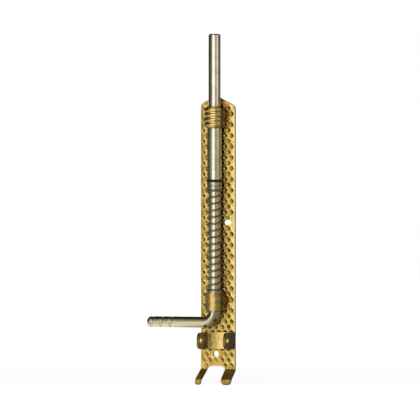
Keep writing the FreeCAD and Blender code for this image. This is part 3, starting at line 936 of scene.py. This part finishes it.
def inside(places: np.ndarray, ends: np.ndarray) -> np.ndarray:
    """Tells which places lie inside the closed loops that the edges make.

    Args:
        places: Points as rows of two numbers.
        ends: Edges as pairs of points; holes count out again.

    Returns:
        One truth value for each place.
    """
    start, stop = ends[:, 0], ends[:, 1]
    across, up = places[:, 0:1], places[:, 1:2]
    spans = (start[:, 1] > up) != (stop[:, 1] > up)
    rise = np.where(stop[:, 1] == start[:, 1], 1.0, stop[:, 1] - start[:, 1])
    meets = start[:, 0] + (up - start[:, 1]) * (stop[:, 0] - start[:, 0]) / rise
    return (spans & (across < meets)).sum(1) % 2 == 1


def edge_distance(place: np.ndarray, ends: np.ndarray) -> float:
    """Measures the distance from a place to the nearest edge.

    Args:
        place: The point.
        ends: Edges as pairs of points.

    Returns:
        The distance, in the points' own unit.
    """
    least_square = 1e-12  # keeps an edge of no length from dividing by zero
    start, run = ends[:, 0], ends[:, 1] - ends[:, 0]
    share = ((place - start) * run).sum(1) / np.maximum((run * run).sum(1), least_square)
    nearest = start + np.clip(share, 0, 1)[:, None] * run
    return float(np.sqrt(((place - nearest) ** 2).sum(1)).min())


@dataclass
class SpringAndTube:
    """The clamped tube, the bush, and the spring wound round the rod between bush and collar.

    The spring is a right-hand helix with a flat part turn at each end. All lengths are in
    millimetres.
    """

    tube_finish: ZincPlatedBar = ZincPlatedBar(
        silver="#D9D6BC", shade="#BDB994", roughness=0.2, name="zinc_plated_tube",
    )
    wire_finish: ZincPlatedBar = ZincPlatedBar(
        silver="#9A957E", shade="#79745E", roughness=0.24, name="zinc_plated_wire",
    )
    wire: float = 2.0
    turns: float = 16.1
    # Turns that lie flat at each end, and half the turns over which the pitch eases in.
    flat: float = 0.65
    blend: float = 0.15
    # Where round the axis the upper end lies, in degrees from +X.
    top_angle: float = 140.0
    steps_per_turn: int = 40
    sides: int = 14
    # The turn to each side over which the wire's direction is measured.
    small_turn: float = 1e-3
    travel: float = 5.5

    def __post_init__(self) -> None:
        """Takes the spring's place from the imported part, in millimetres."""
        low, high = (Vector(corner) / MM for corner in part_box("return_spring"))
        self.coil_radius = (high.x - low.x - self.wire) / 2
        self.axis_back = (high.y + low.y) / 2
        self.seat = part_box("lower_bush")[1][2] / MM
        self.low = low.z + self.wire / 2
        self.high = high.z - self.wire / 2

    def build(self) -> None:
        """Dresses tube and bush and winds the spring."""
        tube = self.tube_finish.material()
        for node in ("guide_tube", "lower_bush"):
            dress(node, tube)
        spring = new_piece("wound_spring", self.spring_mesh(), self.wire_finish.material())
        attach(spring, Body.PLATE.value)
        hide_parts("return_spring")
        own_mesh(spring)

    def rise(self, turn: float) -> float:
        """Gives the wire's height at a turn, above its low end.

        Args:
            turn: Turns from the low end.

        Returns:
            The height in millimetres.
        """
        pitch = (self.high - self.low) / (self.turns - 2 * self.flat)
        if turn > self.turns / 2:
            return self.high - self.low - self.rise(self.turns - turn)
        into = turn - (self.flat - self.blend)
        if into <= 0:
            return 0.0
        if into < 2 * self.blend:
            return pitch * into * into / (4 * self.blend)
        return pitch * (turn - self.flat)

    def centre(self, turn: float) -> Vector:
        """Gives the wire's centre at a turn.

        Args:
            turn: Turns from the low end.

        Returns:
            The place in millimetres.
        """
        angle = math.radians(self.top_angle) + 2 * math.pi * (turn - self.turns)
        return Vector((
            self.coil_radius * math.cos(angle),
            self.axis_back + self.coil_radius * math.sin(angle),
            self.low + self.rise(turn),
        ))

    def spring_mesh(self) -> bpy.types.Mesh:
        """Sweeps the round wire along the helix and closes its two cut ends.

        Returns:
            The mesh, in metres.
        """
        shape = bmesh.new()
        count = int(self.turns * self.steps_per_turn)
        axis = Vector((0, self.axis_back, 0))
        loops = []
        for step in range(count + 1):
            turn = self.turns * step / count
            middle = self.centre(turn)
            before = self.centre(max(turn - self.small_turn, 0.0))
            after = self.centre(min(turn + self.small_turn, self.turns))
            ahead = (after - before).normalized()
            out = (middle - axis) * Vector((1, 1, 0))
            out = (out - ahead * out.dot(ahead)).normalized()
            side = ahead.cross(out)
            loop = []
            for number in range(self.sides):
                angle = 2 * math.pi * number / self.sides
                spoke = (out * math.cos(angle) + side * math.sin(angle)) * (self.wire / 2)
                loop.append(shape.verts.new((middle + spoke) * MM))
            loops.append(loop)
        for here, there in zip(loops, loops[1:]):
            for number in range(self.sides):
                following = (number + 1) % self.sides
                shape.faces.new((
                    here[number], here[following], there[following], there[number],
                ))
        shape.faces.new(list(reversed(loops[0])))
        shape.faces.new(loops[-1])
        bmesh.ops.recalc_face_normals(shape, faces=shape.faces)
        mesh = bpy.data.meshes.new("wound_spring")
        shape.to_mesh(mesh)
        shape.free()
        return mesh


@dataclass
class RodAndHandle:
    """The bar with its bent handle, the collar and pin that it carries, and the buffer ring."""

    # Oil and painted shade darken this length of the bar.
    bar: ZincPlatedBar = ZincPlatedBar(oil_and_shade_mm=(-140.0, 66.0))
    collar: ZincPlatedBar = ZincPlatedBar(
        silver="#C2BDA4", shade="#A09A7E", roughness=0.22, name="zinc_plated_collar",
    )
    ring: MouldedNylon = MouldedNylon()

    def build(self) -> None:
        """Dresses the turned parts and the moulded ring."""
        silver = self.bar.material()
        for node in ("bolt_rod", "collar_pin"):
            dress(node, silver)
        dress("stop_collar", self.collar.material())
        dress("buffer_ring", self.ring.material())


@dataclass(frozen=True)
class SoftBox:
    """A rectangular lamp that faces the object.

    Its direction is in degrees, its distance, width and height are in metres, and its level
    is the brightness of its face, where 1 is as bright as a white one.
    """

    name: str
    azimuth: float
    elevation: float
    reach: float
    wide: float
    high: float
    level: float


@dataclass
class Studio:
    """Camera, lamps, floor and world. Lengths in metres, angles in degrees."""

    # The camera's place, and what its frame shows and is aimed at, across and up.
    azimuth: float = 24.0
    elevation: float = 0.0
    distance: float = 6.0
    view_width: float = 0.5649
    aim: tuple[float, float] = (-0.0106, 0.0313)
    aim_depth: float = -3 * MM
    sensor_mm: float = 36.0
    far_clip: float = 60.0
    # Key and side light the fronts and left flanks, fill and edge the right flanks and the
    # catch's outer face, and the low one the underside of the handle and the bent foot.
    lamps: tuple[SoftBox, ...] = (
        SoftBox("key", 13.0, 8.0, 1.7, 0.66, 1.4, 1.5),
        SoftBox("side", -8.0, 8.0, 1.7, 0.42, 1.4, 1.45),
        SoftBox("fill", 80.0, 20.0, 1.9, 0.7, 1.0, 0.8),
        SoftBox("edge", 156.0, 2.0, 1.7, 0.4, 0.6, 0.8),
        SoftBox("low", -22.0, -10.6, 0.82, 0.26, 0.09, 1.7),
    )
    white: str = "#FFFFFF"
    paper: str = "#F2F1EE"
    paper_roughness: float = 0.9
    floor_radius: float = 9.0
    floor_sides: int = 96
    # The glow that the camera sees in the paper, from this level near the object to 1 far off.
    near_glow: float = 0.8
    glow_reach: tuple[float, float] = (0.4, 2.5)
    # What metal sees in the floor is painted: a painted pool of light on the front's left,
    # across this edge, that falls off with distance to the far level, and a painted shadow
    # right under the object.
    lit_azimuth: float = -75.0
    lit_edge: tuple[float, float] = (-0.02, 0.11)
    lit_reach: tuple[float, float] = (0.1, 0.28)
    lit_far: float = 0.33
    painted_shadow_reach: tuple[float, float] = (0.07, 0.12)
    painted_shadow_level: float = 0.45
    # The white backdrop's half width: nothing beyond the first angle, all within the second.
    backdrop: tuple[float, float] = (14.0, 8.0)
    # The walls' level by the angle from the room's lit side, their tint, and how much of it
    # is left by the angle above the horizon.
    room_azimuth: float = 35.0
    room_levels: tuple[tuple[float, float], ...] = (
        (148.0, 0.04), (104.0, 0.04), (88.0, 0.1), (76.0, 0.28), (64.0, 0.42), (45.0, 0.56),
    )
    room_tint: tuple[float, float, float] = (1.0, 0.98, 0.92)
    ceiling_levels: tuple[tuple[float, float], ...] = (
        (30.0, 1.0), (56.0, 0.62), (76.0, 0.22), (90.0, 0.14),
    )

    def build(self) -> None:
        """Sets up everything round the object."""
        self.make_camera()
        self.make_lamps()
        self.make_floor()
        self.make_world()
        bpy.context.scene.view_settings.view_transform = "Standard"

    def toward(self, azimuth: float, elevation: float) -> Vector:
        """Gives the direction from the object to a place round it.

        Args:
            azimuth: Degrees from straight in front, to the right.
            elevation: Degrees above the horizon.

        Returns:
            A vector one metre long.
        """
        turn, tilt = math.radians(azimuth), math.radians(elevation)
        return Vector((
            math.sin(turn) * math.cos(tilt), -math.cos(turn) * math.cos(tilt), math.sin(tilt),
        ))

    def make_camera(self) -> None:
        """Places the camera at the photograph's angle."""
        back = self.toward(self.azimuth, self.elevation)
        across = Vector((-back.y, back.x, 0)).normalized()
        upward = back.cross(across)
        target = Vector((0, self.aim_depth, 0)) + across * self.aim[0] + upward * self.aim[1]
        data = bpy.data.cameras.new("camera")
        data.sensor_width = self.sensor_mm
        data.lens = self.sensor_mm * self.distance / self.view_width
        data.clip_end = self.far_clip
        camera = new_object("camera", data)
        camera.location = target + back * self.distance
        camera.rotation_mode = "QUATERNION"
        camera.rotation_quaternion = (-back).to_track_quat("-Z", "Y")
        bpy.context.scene.camera = camera

    def make_lamps(self) -> None:
        """Places the soft boxes; a face of pi watts per square metre has a level of 1."""
        for box in self.lamps:
            lamp = bpy.data.lights.new(box.name, "AREA")
            lamp.shape = "RECTANGLE"
            lamp.size, lamp.size_y = box.wide, box.high
            lamp.energy = box.level * math.pi * box.wide * box.high
            holder = new_object(box.name, lamp)
            way = self.toward(box.azimuth, box.elevation)
            holder.location = way * box.reach
            holder.rotation_mode = "QUATERNION"
            holder.rotation_quaternion = way.to_track_quat("Z", "Y")

    def make_floor(self) -> None:
        """Lays a plain pale floor under the object."""
        shape = bmesh.new()
        bmesh.ops.create_circle(
            shape, cap_ends=True, radius=self.floor_radius, segments=self.floor_sides,
        )
        mesh = bpy.data.meshes.new("floor")
        shape.to_mesh(mesh)
        shape.free()
        mesh.materials.append(self.floor_paper())
        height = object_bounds()[0][2]
        floor = new_object("floor", mesh)
        floor.location.z = height
        floor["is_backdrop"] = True

    def floor_paper(self) -> bpy.types.Material:
        """Builds the floor's paper, which reads white, still takes the object's shadow, and shows
        metal a painted pool of light and a painted shadow.

        Returns:
            Its material.
        """
        material, tree, shader = new_material("floor_paper")
        shader.inputs["Base Color"].default_value = linear(self.paper)
        shader.inputs["Roughness"].default_value = self.paper_roughness
        path = add_node(tree, "ShaderNodeLightPath")
        place = add_node(tree, "ShaderNodeTexCoord").outputs["Object"]
        away = add_node(
            tree, "ShaderNodeVectorMath", {"operation": "LENGTH"}, {0: place},
        ).outputs["Value"]
        level = add_node(
            tree, "ShaderNodeMapRange", between(self.glow_reach, (self.near_glow, 1.0)),
            {"Value": away},
        )
        shown = add_node(
            tree, "ShaderNodeMath", {"operation": "MULTIPLY"},
            {0: path.outputs["Is Camera Ray"], 1: level.outputs["Result"]},
        )
        way = add_node(tree, "ShaderNodeVectorMath", {"operation": "NORMALIZE"}, {0: place})
        bright = add_node(
            tree, "ShaderNodeMath", {"operation": "MAXIMUM"},
            {0: self.painted_floor_glow(tree, place, away), 1: self.behind(tree, way.outputs["Vector"])},
        )
        strength = add_node(
            tree, "ShaderNodeMath", {"operation": "MULTIPLY_ADD"},
            {0: self.mirrored(tree, path), 1: bright.outputs[0], 2: shown.outputs[0]},
        )
        glow = add_node(
            tree, "ShaderNodeEmission", {"Color": linear(self.white)},
            {"Strength": strength.outputs[0]},
        )
        both = add_node(
            tree, "ShaderNodeAddShader", {}, {0: shader.outputs[0], 1: glow.outputs[0]},
        )
        output = next(n for n in tree.nodes if n.bl_idname == "ShaderNodeOutputMaterial")
        tree.links.new(both.outputs[0], output.inputs["Surface"])
        return material

    def painted_floor_glow(self, tree: Tree, place: Socket, away: Socket) -> Socket:
        """Adds nodes for the painted light and painted shadow that polished metal sees in the
        floor.

        Args:
            tree: The node tree.
            place: The place on the floor.
            away: Its distance from the object.

        Returns:
            The brightness.
        """
        aside = add_node(
            tree, "ShaderNodeVectorMath",
            {"operation": "DOT_PRODUCT", 1: tuple(self.toward(self.lit_azimuth, 0.0))},
            {0: place},
        )
        front = add_node(
            tree, "ShaderNodeMapRange",
            {"interpolation_type": "SMOOTHSTEP", **between(self.lit_edge)},
            {"Value": aside.outputs["Value"]},
        )
        falling = add_node(
            tree, "ShaderNodeMapRange", between(self.lit_reach, (1.0, self.lit_far)),
            {"Value": away},
        )
        # Painted shadow in the floor's glow, right under the object.
        under = add_node(
            tree, "ShaderNodeMapRange", between(self.painted_shadow_reach, (self.painted_shadow_level, 1.0)),
            {"Value": away},
        )
        lit_front = add_node(
            tree, "ShaderNodeMath", {"operation": "MULTIPLY"},
            {0: front.outputs["Result"], 1: falling.outputs["Result"]},
        )
        return add_node(
            tree, "ShaderNodeMath", {"operation": "MULTIPLY"},
            {0: lit_front.outputs[0], 1: under.outputs["Result"]},
        ).outputs[0]

    def mirrored(self, tree: Tree, path: bpy.types.Node) -> Socket:
        """Adds a node that tells what is seen in metal or through glass.

        Args:
            tree: The node tree.
            path: Its light path node.

        Returns:
            A value that is 1 there and 0 elsewhere.
        """
        return add_node(
            tree, "ShaderNodeMath", {"operation": "MAXIMUM"},
            {0: path.outputs["Is Glossy Ray"], 1: path.outputs["Is Transmission Ray"]},
        ).outputs[0]

    def behind(self, tree: Tree, way: Socket) -> Socket:
        """Adds nodes that tell whether a direction points at the backdrop behind the object.

        Args:
            tree: The node tree.
            way: The direction, one long.

        Returns:
            A value that is 1 straight behind and 0 past the backdrop's edges.
        """
        facing = add_node(
            tree, "ShaderNodeVectorMath",
            {"operation": "DOT_PRODUCT", 1: tuple(-self.toward(self.azimuth, 0.0))}, {0: way},
        )
        outer, inner = (math.cos(math.radians(angle)) for angle in self.backdrop)
        return add_node(
            tree, "ShaderNodeMapRange", between((outer, inner)),
            {"Value": facing.outputs["Value"]},
        ).outputs["Result"]

    def room_light(self, tree: Tree, way: Socket) -> Socket:
        """Adds nodes for the light that the room sends from a direction.

        Args:
            tree: The node tree.
            way: The direction, one long.

        Returns:
            The colour: lit in front, dark behind the object and overhead.
        """
        ahead = add_node(
            tree, "ShaderNodeVectorMath",
            {"operation": "DOT_PRODUCT", 1: tuple(self.toward(self.room_azimuth, 0.0))}, {0: way},
        )
        share = add_node(
            tree, "ShaderNodeMath", {"operation": "MULTIPLY_ADD", 1: 0.5, 2: 0.5},
            {0: ahead.outputs["Value"]},
        )
        walls = add_node(
            tree, "ShaderNodeValToRGB", {}, {"Fac": share.outputs[0]},
            [((1 + math.cos(math.radians(angle))) / 2, (*(level * t for t in self.room_tint), 1.0))
             for angle, level in self.room_levels],
        )
        height = add_node(tree, "ShaderNodeSeparateXYZ", {}, {0: way})
        ceiling = add_node(
            tree, "ShaderNodeValToRGB", {}, {"Fac": height.outputs["Z"]},
            [(math.sin(math.radians(angle)), (level, level, level, 1.0))
             for angle, level in self.ceiling_levels],
        )
        return add_node(
            tree, "ShaderNodeMix",
            {"data_type": "RGBA", "blend_type": "MULTIPLY", MIX_SHARE: 1.0},
            {MIX_FROM: walls.outputs["Color"], MIX_TO: ceiling.outputs["Color"]},
        ).outputs[MIX_OUT]

    def make_world(self) -> None:
        """Makes a dim room with dark walls at the sides, white where the backdrop stands."""
        world = bpy.data.worlds.new("studio")
        world.use_nodes = True
        tree = world.node_tree
        tree.nodes.clear()
        output = add_node(tree, "ShaderNodeOutputWorld")
        way = add_node(tree, "ShaderNodeTexCoord").outputs["Generated"]
        path = add_node(tree, "ShaderNodeLightPath")
        backdrop = add_node(
            tree, "ShaderNodeMath", {"operation": "MULTIPLY"},
            {0: self.behind(tree, way), 1: self.mirrored(tree, path)},
        )
        white = add_node(
            tree, "ShaderNodeMath", {"operation": "MAXIMUM"},
            {0: path.outputs["Is Camera Ray"], 1: backdrop.outputs[0]},
        )
        colour = add_node(
            tree, "ShaderNodeMix", {"data_type": "RGBA", MIX_TO: linear(self.white)},
            {MIX_SHARE: white.outputs[0], MIX_FROM: self.room_light(tree, way)},
        )
        light = add_node(
            tree, "ShaderNodeBackground", {"Strength": 1.0}, {"Color": colour.outputs[MIX_OUT]},
        )
        tree.links.new(light.outputs[0], output.inputs["Surface"])
        bpy.context.scene.world = world


def main() -> None:
    """Builds the sub-assemblies in order, then the studio round them."""
    logging.basicConfig(level=logging.INFO, format="%(name)s: %(message)s")
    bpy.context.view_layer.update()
    for assembly in (PlateAssembly(), SpringAndTube(), RodAndHandle(), Studio()):
        assembly.build()
        log.info("finished %s", type(assembly).__name__)


if __name__ == "__main__":
    main()
